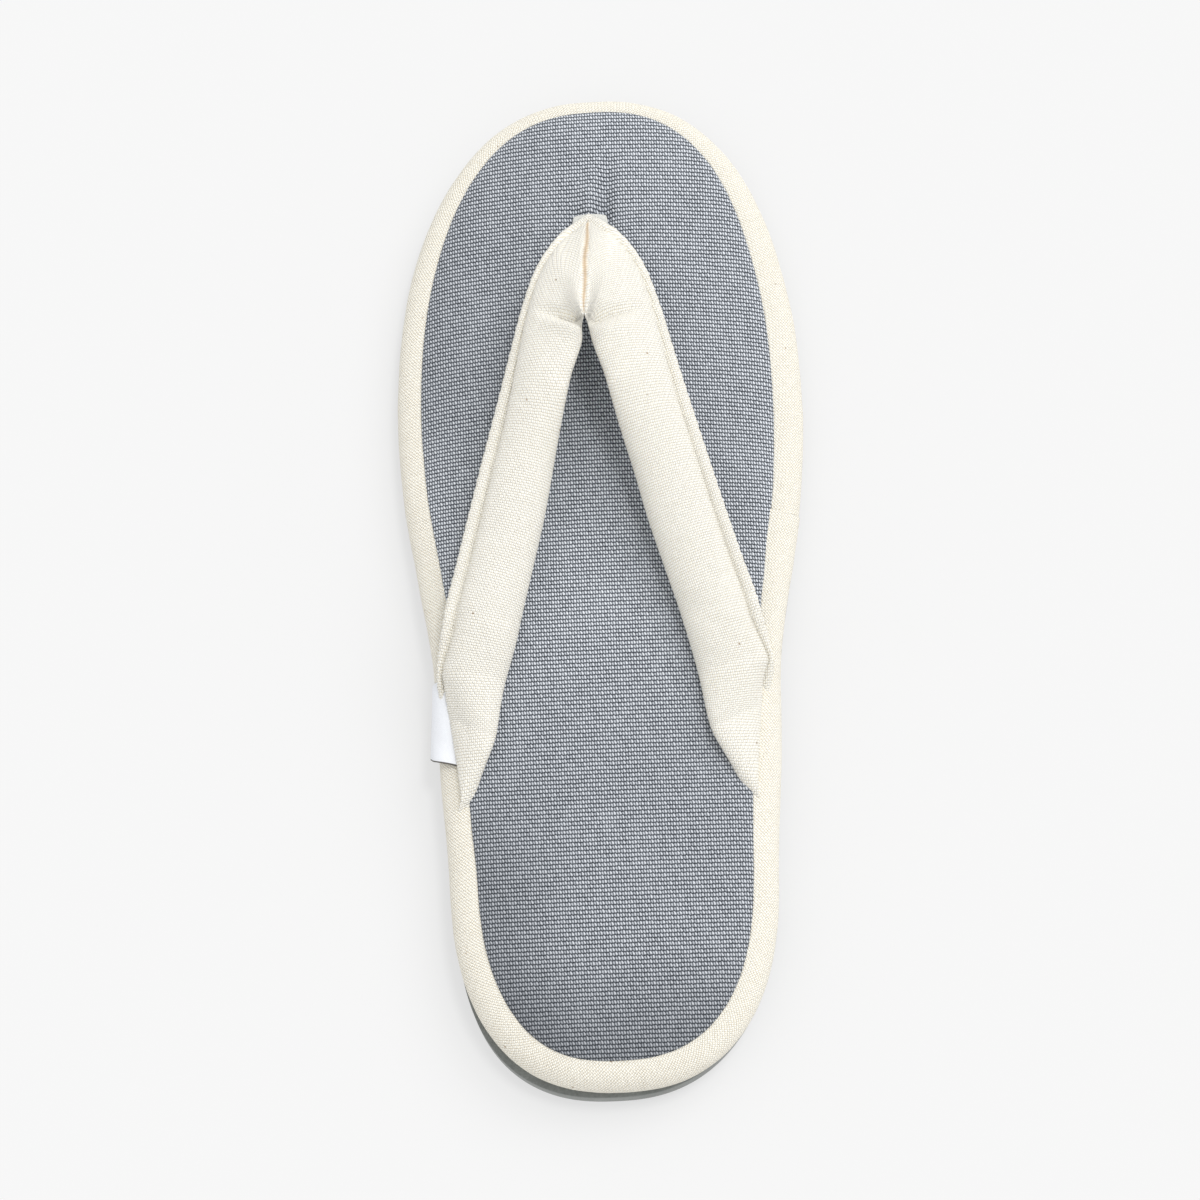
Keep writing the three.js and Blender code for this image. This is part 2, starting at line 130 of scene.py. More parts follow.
# The sole from the side: shares of the heel's extra thickness, of the arch rise and of the toe spring
SOLE_ROWS = [
    {"at": 0.0, "heel": 1.0, "arch": 0, "spring": 0},
    {"at": 0.12, "heel": 1.0, "arch": 0, "spring": 0},
    {"at": 0.28, "heel": 0.88, "arch": 0, "spring": 0},
    {"at": 0.42, "heel": 0.5, "arch": 1, "spring": 0},
    {"at": 0.56, "heel": 0.12, "arch": 0, "spring": 0},
    {"at": 0.66, "heel": 0, "arch": 0, "spring": 0},
    {"at": 0.76, "heel": 0, "arch": 0, "spring": 0},
    {"at": 0.88, "heel": 0, "arch": 0, "spring": 0.28},
    {"at": 1.0, "heel": 0, "arch": 0, "spring": 1},
]

# How far the tape reaches in from the edge on each side, in shares of its width
LIP_ROWS = [
    {"at": 0.0, "left": 0.88, "right": 0.88},
    {"at": 0.08, "left": 0.98, "right": 0.84},
    {"at": 0.2, "left": 0.97, "right": 0.82},
    {"at": 0.25, "left": 0.92, "right": 0.86},
    {"at": 0.279, "left": 0.92, "right": 0.89},
    {"at": 0.303, "left": 0.81, "right": 0.85},
    {"at": 0.349, "left": 0.59, "right": 0.72},
    {"at": 0.371, "left": 0.47, "right": 0.65},
    {"at": 0.385, "left": 0.39, "right": 0.59},
    {"at": 0.405, "left": 0.32, "right": 0.38},
    {"at": 0.46, "left": 0.84, "right": 0.84},
    {"at": 0.56, "left": 0.86, "right": 0.92},
    {"at": 0.68, "left": 0.87, "right": 1.0},
    {"at": 0.82, "left": 0.86, "right": 0.95},
    {"at": 0.94, "left": 0.72, "right": 0.76},
    {"at": 1.0, "left": 0.64, "right": 0.64},
]

# The strap's right arm from the front seam to the tail, with the same columns as the CAD strap
STRAP_NAMES = (
    "at", "outerX", "outerY", "innerX", "innerY",
    "outerRise", "innerRise", "puff", "outerTuck", "innerTuck",
)
STRAP_VALUES = [
    (0.0, 0.0, 0.866, 0.0, 0.735, 0.0, 1.0, 0.62, 0, 0),
    (0.06, 0.143, 0.843, 0.017, 0.725, 0.1, 1.0, 0.76, 0, 0),
    (0.13, 0.248, 0.808, 0.038, 0.709, 0.26, 0.985, 0.9, 0, 0),
    (0.2, 0.32, 0.762, 0.069, 0.687, 0.42, 0.95, 1.0, 0, 0),
    (0.27, 0.377, 0.715, 0.099, 0.662, 0.52, 0.9, 1.0, 0, 0),
    (0.35, 0.442, 0.664, 0.133, 0.634, 0.55, 0.82, 1.0, 0, 0),
    (0.43, 0.514, 0.611, 0.177, 0.596, 0.52, 0.7, 1.0, 0, 0),
    (0.52, 0.594, 0.553, 0.234, 0.545, 0.44, 0.55, 1.0, 0, 0),
    (0.61, 0.674, 0.498, 0.309, 0.492, 0.33, 0.4, 1.0, 0, 0),
    (0.69, 0.743, 0.453, 0.377, 0.445, 0.2, 0.28, 1.0, 0, 0),
    (0.77, 0.787, 0.406, 0.442, 0.391, 0.04, 0.18, 0.96, 0.3, 0),
    (0.85, 0.775, 0.364, 0.495, 0.334, 0, 0.12, 0.82, 1, 0),
    (0.93, 0.739, 0.319, 0.571, 0.296, 0, 0.05, 0.6, 1, 0.3),
    (1.0, 0.706, 0.287, 0.652, 0.265, 0, 0, 0.4, 1, 1),
]
STRAP_ROWS = [dict(zip(STRAP_NAMES, values)) for values in STRAP_VALUES]


def column(rows, name):
    """Smooth curve through one column of a table, never overshooting its rows."""
    at = np.array([row["at"] for row in rows], float)
    value = np.array([row[name] for row in rows], float)
    slope = np.diff(value) / np.diff(at)
    product = slope[:-1] * slope[1:]
    total = np.where(product > 0, slope[:-1] + slope[1:], 1)
    tangent = np.concatenate([slope[:1], np.where(product > 0, 2 * product / total, 0), slope[-1:]])

    def curve(x):
        x = np.asarray(x, float)
        i = np.clip(np.searchsorted(at, x, side="right") - 1, 0, len(at) - 2)
        span = at[i + 1] - at[i]
        t = np.clip((x - at[i]) / span, 0, 1)
        ease = t * t * (3 - 2 * t)
        lead = t * (1 - t) ** 2 * span * tangent[i]
        trail = t * t * (t - 1) * span * tangent[i + 1]
        return value[i] * (1 - ease) + value[i + 1] * ease + lead + trail

    return curve


SIDE_HALF = column(SIDE_ROWS, "half")
HEEL_SHARE = column(SOLE_ROWS, "heel")
ARCH_SHARE = column(SOLE_ROWS, "arch")
SPRING_SHARE = column(SOLE_ROWS, "spring")
LIP_LEFT = column(LIP_ROWS, "left")
LIP_RIGHT = column(LIP_ROWS, "right")
STRAP = {name: column(STRAP_ROWS, name) for name in STRAP_NAMES[1:]}


# Outline and heights
def share_of(y):
    return np.asarray(y) / LENGTH + 0.5


def half_width(y):
    share = np.clip(share_of(y), 0, 1)
    toe = np.maximum(0, (share - TOE_FROM) / (1 - TOE_FROM))
    heel = np.maximum(0, (HEEL_TO - share) / HEEL_TO)
    ends = (1 - toe**TOE_POWER) * (1 - heel**HEEL_POWER)
    return BALL_WIDTH / 2 * SIDE_HALF(share) * np.maximum(ends, 0) ** (1 / END_ROOT)


def underside_z(y):
    return ARCH_RISE * ARCH_SHARE(share_of(y)) + TOE_SPRING * SPRING_SHARE(share_of(y))


def sole_top_z(y):
    return underside_z(y) + SOLE_FORE + (SOLE_HEEL - SOLE_FORE) * HEEL_SHARE(share_of(y))


def pad_base_z(y):
    return sole_top_z(y) + CLEARANCE


def foot_z(y):
    return pad_base_z(y) + TAPE_HEIGHT + PAD_CROWN


def lip_inset(x, y):
    share = share_of(y)
    return TAPE_WIDTH * np.where(x < 0, LIP_LEFT(share), LIP_RIGHT(share))


class Outline:
    """The shoe's outline as arrays along its own length, from the toe round the right side."""

    def __init__(self, fine=6000):
        y = LENGTH / 2 * np.cos(np.linspace(0, math.pi, fine))
        x = half_width(y)
        x[0] = x[-1] = 0
        self.x = np.concatenate([x, -x[-2::-1]])
        self.y = np.concatenate([y, y[-2::-1]])
        step = np.hypot(np.diff(self.x), np.diff(self.y))
        self.run = np.concatenate([[0], np.cumsum(step)])
        self.around = self.run[-1]
        dx = np.gradient(self.x, self.run)
        dy = np.gradient(self.y, self.run)
        size = np.hypot(dx, dy)
        self.nx, self.ny = -dy / size, dx / size

    def at(self, run):
        run = np.mod(run, self.around)
        return [np.interp(run, self.run, part) for part in (self.x, self.y, self.nx, self.ny)]

    def run_at(self, y):
        """Length along the outline down to y on the right side."""
        half = len(self.y) // 2 + 1
        return float(np.interp(-y, -self.y[:half], self.run[:half]))


OUTLINE = Outline()


# Meshes, where points closer than this many mm become one
MERGE = 0.005


def smooth(value, low, high):
    """Soft step from 0 at low to 1 at high."""
    t = np.clip((value - low) / (high - low), 0, 1)
    return t * t * (3 - 2 * t)


def mesh_object(name, points, faces, weave=None, seam=None):
    mesh = bpy.data.meshes.new(name)
    points = np.array(points)
    points[:, 0] += TOE_LEAN * smooth(share_of(points[:, 1]), 0.8, 1.0)
    mesh.from_pydata((points * MM).tolist(), [], [tuple(f) for f in faces])
    if weave is not None:
        layer = mesh.attributes.new("weave", "FLOAT_VECTOR", "POINT")
        layer.data.foreach_set("vector", np.asarray(weave, np.float32).ravel())
    # The `seam` attribute holds a seam line's tint on the strap, painted shade on the footbed and a painted
    # shadow at the label's end
    if seam is not None:
        layer = mesh.attributes.new("seam", "FLOAT", "POINT")
        layer.data.foreach_set("value", np.asarray(seam, np.float32).ravel())
    tidy = bmesh.new()
    tidy.from_mesh(mesh)
    bmesh.ops.remove_doubles(tidy, verts=tidy.verts, dist=MERGE * MM)
    bmesh.ops.recalc_face_normals(tidy, faces=tidy.faces)
    tidy.to_mesh(mesh)
    tidy.free()
    mesh.shade_smooth()
    piece = bpy.data.objects.new(name, mesh)
    bpy.context.scene.collection.objects.link(piece)
    return piece


def grid_faces(rows, count, caps=False):
    """Quads of a grid whose rows are closed loops. Caps fill the first and last row."""
    faces = []
    for r in range(rows - 1):
        near, far = r * count, (r + 1) * count
        faces += [(near + i, near + (i + 1) % count, far + (i + 1) % count, far + i) for i in range(count)]
    if caps:
        last = (rows - 1) * count
        faces += [tuple(range(count - 1, -1, -1)), tuple(range(last, last + count))]
    return faces


def wobble(points, size, seed):
    """Smooth noise of about 1 either way at points in mm, with bumps of the given size."""
    shift = Vector((seed * 17.3, seed * 5.1, seed * 9.7))
    flat = np.asarray(points).reshape(-1, 3) / size
    values = [noise.noise(Vector(p) + shift) for p in flat]
    return np.array(values).reshape(np.asarray(points).shape[:-1])


def finish_piece(piece, node, look):
    piece.data.materials.append(look)
    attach(piece, "root")
    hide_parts(node)
    return piece


# Materials
class Look:
    """A material with short calls for its nodes."""

    def __init__(self, name):
        self.material = bpy.data.materials.new(name)
        self.material.use_nodes = True
        self.tree = self.material.node_tree
        self.shader = self.tree.nodes["Principled BSDF"]

    def node(self, kind, inputs=(), **settings):
        made = self.tree.nodes.new(kind)
        for key, value in settings.items():
            setattr(made, key, value)
        for key, value in dict(inputs).items():
            self.feed(made.inputs[key], value)
        return made

    def feed(self, socket, value):
        if isinstance(value, bpy.types.NodeSocket):
            self.tree.links.new(value, socket)
        else:
            socket.default_value = value

    def math(self, operation, *values):
        made = self.tree.nodes.new("ShaderNodeMath")
        made.operation = operation
        for socket, value in zip(made.inputs, values):
            self.feed(socket, value)
        return made.outputs[0]

    def noise(self, coords, scale, detail=2.0, rough=0.5):
        inputs = {"Vector": coords, "Scale": scale, "Detail": detail, "Roughness": rough}
        return self.node("ShaderNodeTexNoise", inputs).outputs["Fac"]

    def mapped(self, coords, scale=1.0, turn=0.0):
        inputs = {"Vector": coords, "Scale": (scale, scale, scale), "Rotation": (0, 0, turn)}
        return self.node("ShaderNodeMapping", inputs).outputs["Vector"]

    def ramp(self, value, stops):
        made = self.node("ShaderNodeValToRGB", {"Fac": value})
        ramp = made.color_ramp
        while len(ramp.elements) < len(stops):
            ramp.elements.new(0.5)
        for element, (place, colour) in zip(ramp.elements, stops):
            element.position = place
            element.color = (*colour, 1)
        return made.outputs["Color"]

    def mix(self, factor, a, b):
        made = self.node("ShaderNodeMix", data_type="RGBA")
        self.feed(made.inputs["Factor"], factor)
        for name, value in (("A", a), ("B", b)):
            socket = [s for s in made.inputs if s.name == name and s.type == "RGBA"][0]
            self.feed(socket, value if isinstance(value, bpy.types.NodeSocket) else (*value, 1))
        return [s for s in made.outputs if s.type == "RGBA"][0]

    def bump(self, height, distance):
        inputs = {"Height": height, "Distance": distance, "Strength": 1.0}
        return self.node("ShaderNodeBump", inputs).outputs["Normal"]

    def arch(self, place, power):
        """Round top of a yarn, 1 in its middle and 0 at its edges, for a place from -0.5 to 0.5."""
        reach = self.math("ABSOLUTE", self.math("MULTIPLY", place, 2.0))
        return self.math("SUBTRACT", 1.0, self.math("POWER", reach, power))


def srgb(*levels):
    """Linear colour of an 8-bit sRGB one."""
    shares = [level / 255 for level in levels]
    return tuple(((share + 0.055) / 1.055) ** 2.4 if share > 0.04 else share / 12.92 for share in shares)


def drifted(look, coords, drift):
    """Coordinates bent a little, as cloth threads wander, and their x and y."""
    bend = look.node("ShaderNodeTexNoise", {"Vector": coords, "Scale": 0.5, "Detail": 1.5}).outputs["Color"]
    offset = look.node("ShaderNodeVectorMath", {0: bend, 1: (0.5, 0.5, 0.5)}, operation="SUBTRACT").outputs[0]
    shift = look.node("ShaderNodeVectorMath", {0: offset, "Scale": drift}, operation="SCALE").outputs[0]
    moved = look.node("ShaderNodeVectorMath", {0: coords, 1: shift}, operation="ADD").outputs[0]
    split = look.node("ShaderNodeSeparateXYZ", {0: moved})
    return moved, split.outputs["X"], split.outputs["Y"]


# Yarns: how far the rows sway, how flat the tops of rows and warps are, and the least height in a row
ROW_SWAY = -0.07
ROW_FLATNESS = 2.4
WARP_FLATNESS = 2.0
ROW_LEAST = 0.1


def row_weave(look, x, y, pitch, over, lean):
    """Height and bump number of a cloth with thick rows over thin warps, whose bumps lean a little.

    `over` is how much higher every second bump stands, as a share of the height.
    """
    u, v = look.math("DIVIDE", x, pitch[0]), look.math("DIVIDE", y, pitch[1])
    wave = look.math("COSINE", look.math("MULTIPLY", u, math.pi))
    flip = look.math("COSINE", look.math("MULTIPLY", v, math.pi))
    bent = look.math("MULTIPLY_ADD", look.math("MULTIPLY", wave, flip), ROW_SWAY, v)
    row = look.math("FLOOR", bent)
    rise = look.math("SUBTRACT", look.math("FRACT", bent), 0.5)
    leaned = look.math("MULTIPLY_ADD", rise, lean, u)
    warp = look.math("FLOOR", leaned)
    sway = look.math("SUBTRACT", look.math("FRACT", leaned), 0.5)
    parity = look.math("FLOORED_MODULO", look.math("ADD", row, warp), 2.0)
    raised = look.math("MULTIPLY_ADD", parity, over, 1 - ROW_LEAST - over)
    crown = look.math("MULTIPLY", look.arch(sway, WARP_FLATNESS), raised)
    height = look.math("MULTIPLY", look.arch(rise, ROW_FLATNESS), look.math("ADD", crown, ROW_LEAST))
    number = look.node("ShaderNodeCombineXYZ", {"X": warp, "Y": row})
    return height, number.outputs[0]


# Flecks: cells along a millimetre, how far a fleck reaches in its cell, and how dark it gets
FLECK_SPREAD = 0.075
FLECK_RADIUS = 0.026
FLECK_DARKEST = 0.75


def flecked(look, coords, colour, fleck):
    """The colour with small flecks of seed husk, which only some cells have."""
    inputs = {"Vector": coords, "Scale": FLECK_SPREAD}
    cells = look.node("ShaderNodeTexVoronoi", inputs, voronoi_dimensions="2D")
    near = look.math("SUBTRACT", 1.0, look.math("DIVIDE", cells.outputs["Distance"], FLECK_RADIUS))
    pick = look.node("ShaderNodeSeparateXYZ", {0: cells.outputs["Color"]}).outputs["X"]
    chance = look.math("MAXIMUM", look.math("MULTIPLY_ADD", pick, 2.2, -1.2), 0.0)
    dark = look.math("MULTIPLY", look.math("MAXIMUM", near, 0.0), look.math("MULTIPLY", chance, 2.0))
    return look.mix(look.math("MINIMUM", dark, FLECK_DARKEST), colour, fleck)


def canvas_look(
    name, pitch, stops, depth, over=0.3, lean=0.4, turn=0.0, drift=0.3, uneven=0.3, fleck=None, seam=None
):
    """Woven cloth. `stops` are the colours from the gaps to the crowns of the yarn; the darker gap colours
    are painted shade in the hollows between the yarns.

    The mesh's `weave` attribute holds the places in the cloth, and `seam` how far the colour goes to
    the one given as `seam`: a seam line's tint on the strap, painted shade on the footbed and a painted
    shadow at the label's end.
    """
    look = Look(name)
    coords = look.node("ShaderNodeAttribute", attribute_name="weave").outputs["Vector"]
    if turn:
        coords = look.mapped(coords, turn=turn)
    moved, x, y = drifted(look, coords, drift)
    height, number = row_weave(look, x, y, pitch, over, lean)
    spot = look.node("ShaderNodeTexWhiteNoise", {"Vector": number}, noise_dimensions="2D").outputs["Value"]
    fibre = look.noise(moved, 4.5, 3.0, 0.65)
    cloud = look.noise(moved, 0.05, 2.0)
    tone = look.math("MULTIPLY_ADD", spot, 0.5 * uneven, -0.25 * uneven)
    tone = look.math("MULTIPLY_ADD", look.math("SUBTRACT", fibre, 0.5), uneven, tone)
    tone = look.math("MULTIPLY_ADD", look.math("SUBTRACT", cloud, 0.5), 0.3 * uneven, tone)
    colour = look.ramp(look.math("ADD", height, tone), stops)
    if fleck:
        colour = flecked(look, moved, colour, fleck)
    if seam:
        line = look.node("ShaderNodeAttribute", attribute_name="seam").outputs["Fac"]
        colour = look.mix(line, colour, seam)
    look.feed(look.shader.inputs["Base Color"], colour)
    fuzz = look.noise(moved, 9.0, 2.0)
    relief = look.math("MULTIPLY_ADD", fuzz, 0.2, height)
    look.feed(look.shader.inputs["Normal"], look.bump(relief, depth * MM))
    look.shader.inputs["Roughness"].default_value = 0.92
    look.shader.inputs["Specular IOR Level"].default_value = 0.25
    look.shader.inputs["Sheen Weight"].default_value = 0.08
    look.shader.inputs["Sheen Roughness"].default_value = 0.6
    return look.material


# Colours of each cloth from the gaps between the yarns to their crowns,
# where the darker gap colours are painted shade in the hollows between the yarns
CREAM_STOPS = [(0.0, srgb(214, 203, 180)), (0.2, srgb(251, 247, 234)), (0.6, srgb(255, 254, 249))]
TAPE_STOPS = [(0.0, srgb(200, 183, 150)), (0.18, srgb(251, 245, 229)), (0.52, srgb(255, 253, 244))]
CANVAS_STOPS = [
    (0.03, srgb(34, 38, 44)),
    (0.21, srgb(89, 94, 102)),
    (0.46, srgb(164, 170, 178)),
    (0.82, srgb(236, 240, 246)),
]
# Painted shade: the colour the footbed's cloth is drawn towards over the heel and left of the toe
CANVAS_PAINTED_SHADE = srgb(30, 34, 40)
FLECK = srgb(150, 118, 82)
SEAM_TAN = srgb(196, 158, 104)
# Painted shadow along the label's free end, where it stands off the binding
LABEL_END_SHADOW = srgb(98, 95, 90)

# Warp and row pitch of the two canvases in mm
CREAM_PITCH = (0.56, 0.67)
CANVAS_PITCH = (0.7, 1.08)


def cream_look(name, turn, stops, depth, seam=None):
    angle = math.radians(turn)
    return canvas_look(
        name, CREAM_PITCH, stops, depth, over=0.5, lean=0.2, turn=angle, uneven=0.18, fleck=FLECK, seam=seam
    )


def suede_look():
    look = Look("sole_suede")
    coords = look.mapped(look.node("ShaderNodeTexCoord").outputs["Object"], 1 / MM)
    nap = look.noise(coords, 1.6, 4.0, 0.7)
    patch = look.noise(coords, 0.08, 3.0, 0.6)
    tone = look.math("MULTIPLY_ADD", patch, 0.5, look.math("MULTIPLY", nap, 0.5))
    colour = look.ramp(tone, [(0.25, srgb(96, 99, 96)), (0.75, srgb(150, 153, 149))])
    look.feed(look.shader.inputs["Base Color"], colour)
    look.feed(look.shader.inputs["Normal"], look.bump(nap, 0.12 * MM))
    look.shader.inputs["Roughness"].default_value = 0.95
    look.shader.inputs["Sheen Weight"].default_value = 0.3
    look.shader.inputs["Specular IOR Level"].default_value = 0.2
    return look.material


def cloth_tape_look(name, colour, dark, pitch, depth, seam=None):
    # The dark colour is painted shade in the gaps between the yarns
    return canvas_look(name, (pitch, pitch), [(0.1, dark), (0.5, colour)], depth, drift=0.1, seam=seam)


# Pieces, with this many points around the outline
AROUND = 480


def ring(stations, inset, z):
    """Row of points all round, at an inset from the outline and at heights worked out from y."""
    x, y, nx, ny = stations
    px, py = x - nx * inset, y - ny * inset
    return np.stack([px, py, z(py)], axis=-1)


def inward(edge, stations, steps, z, spine_share=0.7):
    """Rows from an edge in towards the middle line, at shares of the way there."""
    rows = []
    for step in steps:
        x = edge[:, 0] * (1 - step)
        y = edge[:, 1] * (1 - step) + stations[1] * spine_share * step
        rows.append(np.stack([x, y, z(y, step)], axis=-1))
    return rows


def edge_section(lip, depth, shoulder=14, hem=5):
    """Section of the wrapped edge as (inset, height) arrays, from the lip over the shoulder to the hem."""
    lip = np.asarray(lip, float)[..., None]
    angle = np.linspace(math.pi / 2, 0, shoulder)
    inset = lip - (lip - depth) * np.cos(angle)
    height = TAPE_HEIGHT - TAPE_SHOULDER + (TAPE_SHOULDER - depth) * np.sin(angle) + 0 * lip
    turn = np.linspace(0, math.pi / 2, hem)
    radius = TAPE_HEM_ROUND - depth
    inset = np.concatenate([inset, TAPE_HEM_ROUND - radius * np.cos(turn) + 0 * lip], axis=-1)
    height = np.concatenate([height, TAPE_HEM_ROUND - radius * np.sin(turn) + 0 * lip], axis=-1)
    return inset, height


def sole_side_z(y, share):
    """Height on the sole's side, from the top of its rounded lower edge up to its top face."""
    low = underside_z(y) + SOLE_ROUND
    return low + (sole_top_z(y) - low) * share


def make_outsole():
    stations = OUTLINE.at(np.arange(AROUND) / AROUND * OUTLINE.around)
    steps = np.linspace(0, 1, 16)[1:]
    under = ring(stations, SOLE_INSET + SOLE_ROUND, underside_z)
    rows = inward(under, stations, steps, lambda y, s: underside_z(y))[::-1] + [under]
    for turn in np.linspace(0, math.pi / 2, 4)[1:]:
        inset = SOLE_INSET + SOLE_ROUND * (1 - math.sin(turn))
        rise = SOLE_ROUND * (1 - math.cos(turn))
        rows.append(ring(stations, inset, lambda y, h=rise: underside_z(y) + h))
    for share in (0.35, 0.7, 1.0):
        rows.append(ring(stations, SOLE_INSET, lambda y, k=share: sole_side_z(y, k)))
    rows += inward(rows[-1], stations, np.append(steps[::3], 1.0), lambda y, s: sole_top_z(y))
    points = np.array(rows)
    # The sole shows past the binding at the left of the heel
    heel = 1 - smooth(share_of(points[..., 1]), 0.0, 0.16)
    points[..., 0] -= HEEL_SHIFT_LEFT * heel
    points[..., 1] -= HEEL_SHIFT_BACK * heel
    piece = mesh_object("sole_suede", points.reshape(-1, 3), grid_faces(len(rows), AROUND))
    return finish_piece(piece, "outsole", suede_look())


# Front point of the strap and the crotch between its arms
APEX_Y = LENGTH * (STRAP_ROWS[0]["outerY"] - 0.5)
CROTCH_Y = LENGTH * (STRAP_ROWS[0]["innerY"] - 0.5)

# Soft creases of the footbed: from (x, y) to (x, y) in mm, depth (a ridge where negative) and width
PAD_CREASES = [
    ((2.4, APEX_Y + 1), (4.6, APEX_Y + 19), 2.3, 2.0),
    ((-1.6, APEX_Y + 3), (0.2, APEX_Y + 18), -1.2, 2.2),
    ((-3.5, APEX_Y + 1), (-8.0, APEX_Y + 10), 0.4, 2.6),
    ((5.5, APEX_Y + 1), (15.0, APEX_Y + 5), 0.4, 2.8),
    ((-5.5, APEX_Y), (-14.0, APEX_Y + 4), 0.35, 2.8),
]


def crease_depth(x, y, creases):
    """Sum of soft troughs along straight lines."""
    total = np.zeros_like(x)
    for (ax, ay), (bx, by), depth, width in creases:
        dx, dy = bx - ax, by - ay
        t = np.clip(((x - ax) * dx + (y - ay) * dy) / (dx * dx + dy * dy), 0, 1)
        off = np.hypot(x - ax - t * dx, y - ay - t * dy)
        fade = (1 - t) ** 0.7
        total += depth * fade * np.exp(-((off / width) ** 2))
    return total


# Gap in mm between the pad's roll and the lip of the tape
LIP_GAP = 0.05


def rolled_z(y, share):
    """Height of the pad's top where it rolls down to the tape, at a share of the roll in from the lip."""
    return foot_z(y) - PAD_CREASE + PAD_CREASE * np.sqrt(1 - (1 - share) ** 2)


def crowned_z(y, share):
    """Height of the pad's top further in, at a share of the way to the middle line."""
    return foot_z(y) + PAD_CAMBER * (1 - (1 - share) ** 2)


def pad_weave(points, nx, ny, inner_rows, steps):
    """Places in the cloth: those in plan, with the extra length that runs down the rolled edge."""
    fine = np.linspace(0, 1, 400)
    drop = PAD_CREASE * np.sqrt(np.maximum(1 - (1 - fine) ** 2, 0))
    run = np.concatenate([[0], np.cumsum(np.hypot(np.diff(fine) * PAD_ROLL, np.diff(drop)))])
    extra = (run[-1] - run) - PAD_ROLL * (1 - fine)
    excess = np.zeros(points.shape[:2])
    excess[inner_rows:] = extra[0]
    for row, share in enumerate(steps):
        excess[inner_rows + row] = np.interp(share, fine, extra)
    weave = points.copy()
    weave[..., 0] += nx * excess
    weave[..., 1] += ny * excess
    # The rows bow back a little towards the sides of the toe
    forward = np.clip(weave[..., 1] / 60 + 0.3, 0, 1)
    weave[..., 1] += 2.6 * forward * (weave[..., 0] / 40) ** 2
    weave[..., 2] = 0
    return weave


def painted_pad_shade(points):
    """Painted shade: how much darker the cloth is drawn over the heel, most at its end and left side, and
    left of the toe.
    """
    left, ahead, back = -points[..., 0], points[..., 1], -points[..., 1]
    heel = 0.14 * smooth(back, 5, 60) + 0.34 * smooth(back, 92, 130)
    heel_side = 0.27 * smooth(left, 4, 34) * smooth(back, 40, 90)
    toe = 0.14 * smooth(ahead, 20, 60) * smooth(left, -5, 25)
    toe_side = 0.12 * smooth(ahead, 10, 40) * smooth(left, 26, 44)
    return heel + heel_side + toe + toe_side


def make_footbed():
    stations = OUTLINE.at(np.arange(AROUND) / AROUND * OUTLINE.around)
    x, y, nx, ny = stations
    lip = lip_inset(x, y)
    depth = TAPE_WALL + CLEARANCE
    # Shares of the roll's width from its inner end to the lip, closest together where it is steep
    steps = 1 - np.sin(np.linspace(0, math.pi / 2, 17))
    roll = [ring(stations, lip + LIP_GAP + PAD_ROLL * s, lambda v, k=s: rolled_z(v, k)) for s in steps]
    inner = inward(roll[0], stations, np.linspace(0, 1, 34)[1:], crowned_z)
    rows = inner[::-1] + roll
    insets, heights = edge_section(lip, depth)
    for k in range(insets.shape[-1]):
        rows.append(ring(stations, insets[:, k], lambda v, h=heights[:, k]: pad_base_z(v) + h))
    rows.append(ring(stations, TAPE_LEG + CLEARANCE, lambda v: pad_base_z(v) + depth))
    rows.append(ring(stations, TAPE_LEG + CLEARANCE, pad_base_z))
    rows += inward(rows[-1], stations, (0.33, 0.67, 1.0), lambda v, s: pad_base_z(v))
    points = np.array(rows)

    # The sewn point dimples the pad, and its face is a little uneven
    top = points[: len(inner) + len(roll)]
    px, py = top[..., 0], top[..., 1]
    dimple = 2.0 * np.exp(-((px / 9) ** 2 + ((py - APEX_Y + 1) / 7) ** 2))
    top[..., 2] -= dimple + crease_depth(px, py, PAD_CREASES)
    top[..., 2] += 0.16 * wobble(top, 23, 1) + 0.07 * wobble(top, 8, 2)

    weave = pad_weave(points, nx, ny, len(inner), steps)
    faces = grid_faces(len(rows), AROUND)
    # Painted shade over the heel and left of the toe, carried in the mesh's `seam` attribute
    painted_shade = painted_pad_shade(points)
    piece = mesh_object("footbed_canvas", points.reshape(-1, 3), faces, weave.reshape(-1, 3), painted_shade)
    look = canvas_look(
        "footbed_canvas", CANVAS_PITCH, CANVAS_STOPS, 0.3, drift=0.28, uneven=0.24, seam=CANVAS_PAINTED_SHADE
    )
    return finish_piece(piece, "footbed", look)


# Binding: one strip of tape whose end laps over its start on the right side
JOIN_Y = 14.5
LAP = 11.0
LAP_EASE = 9.0
LAP_LIFT = 0.35
BINDING_STEPS = 900
# Points of the tape's outer and inner face, over the shoulder and round the hem
OUTER_STEPS = (22, 8)
INNER_STEPS = (10, 5)


def lifted(inset, height, lift, steps):
    """A face of the tape moved out along its normal."""
    angle = np.concatenate([np.linspace(math.pi / 2, 0, steps[0]), -np.linspace(0, math.pi / 2, steps[1])])
    return inset - lift * np.cos(angle), height + lift * np.sin(angle)


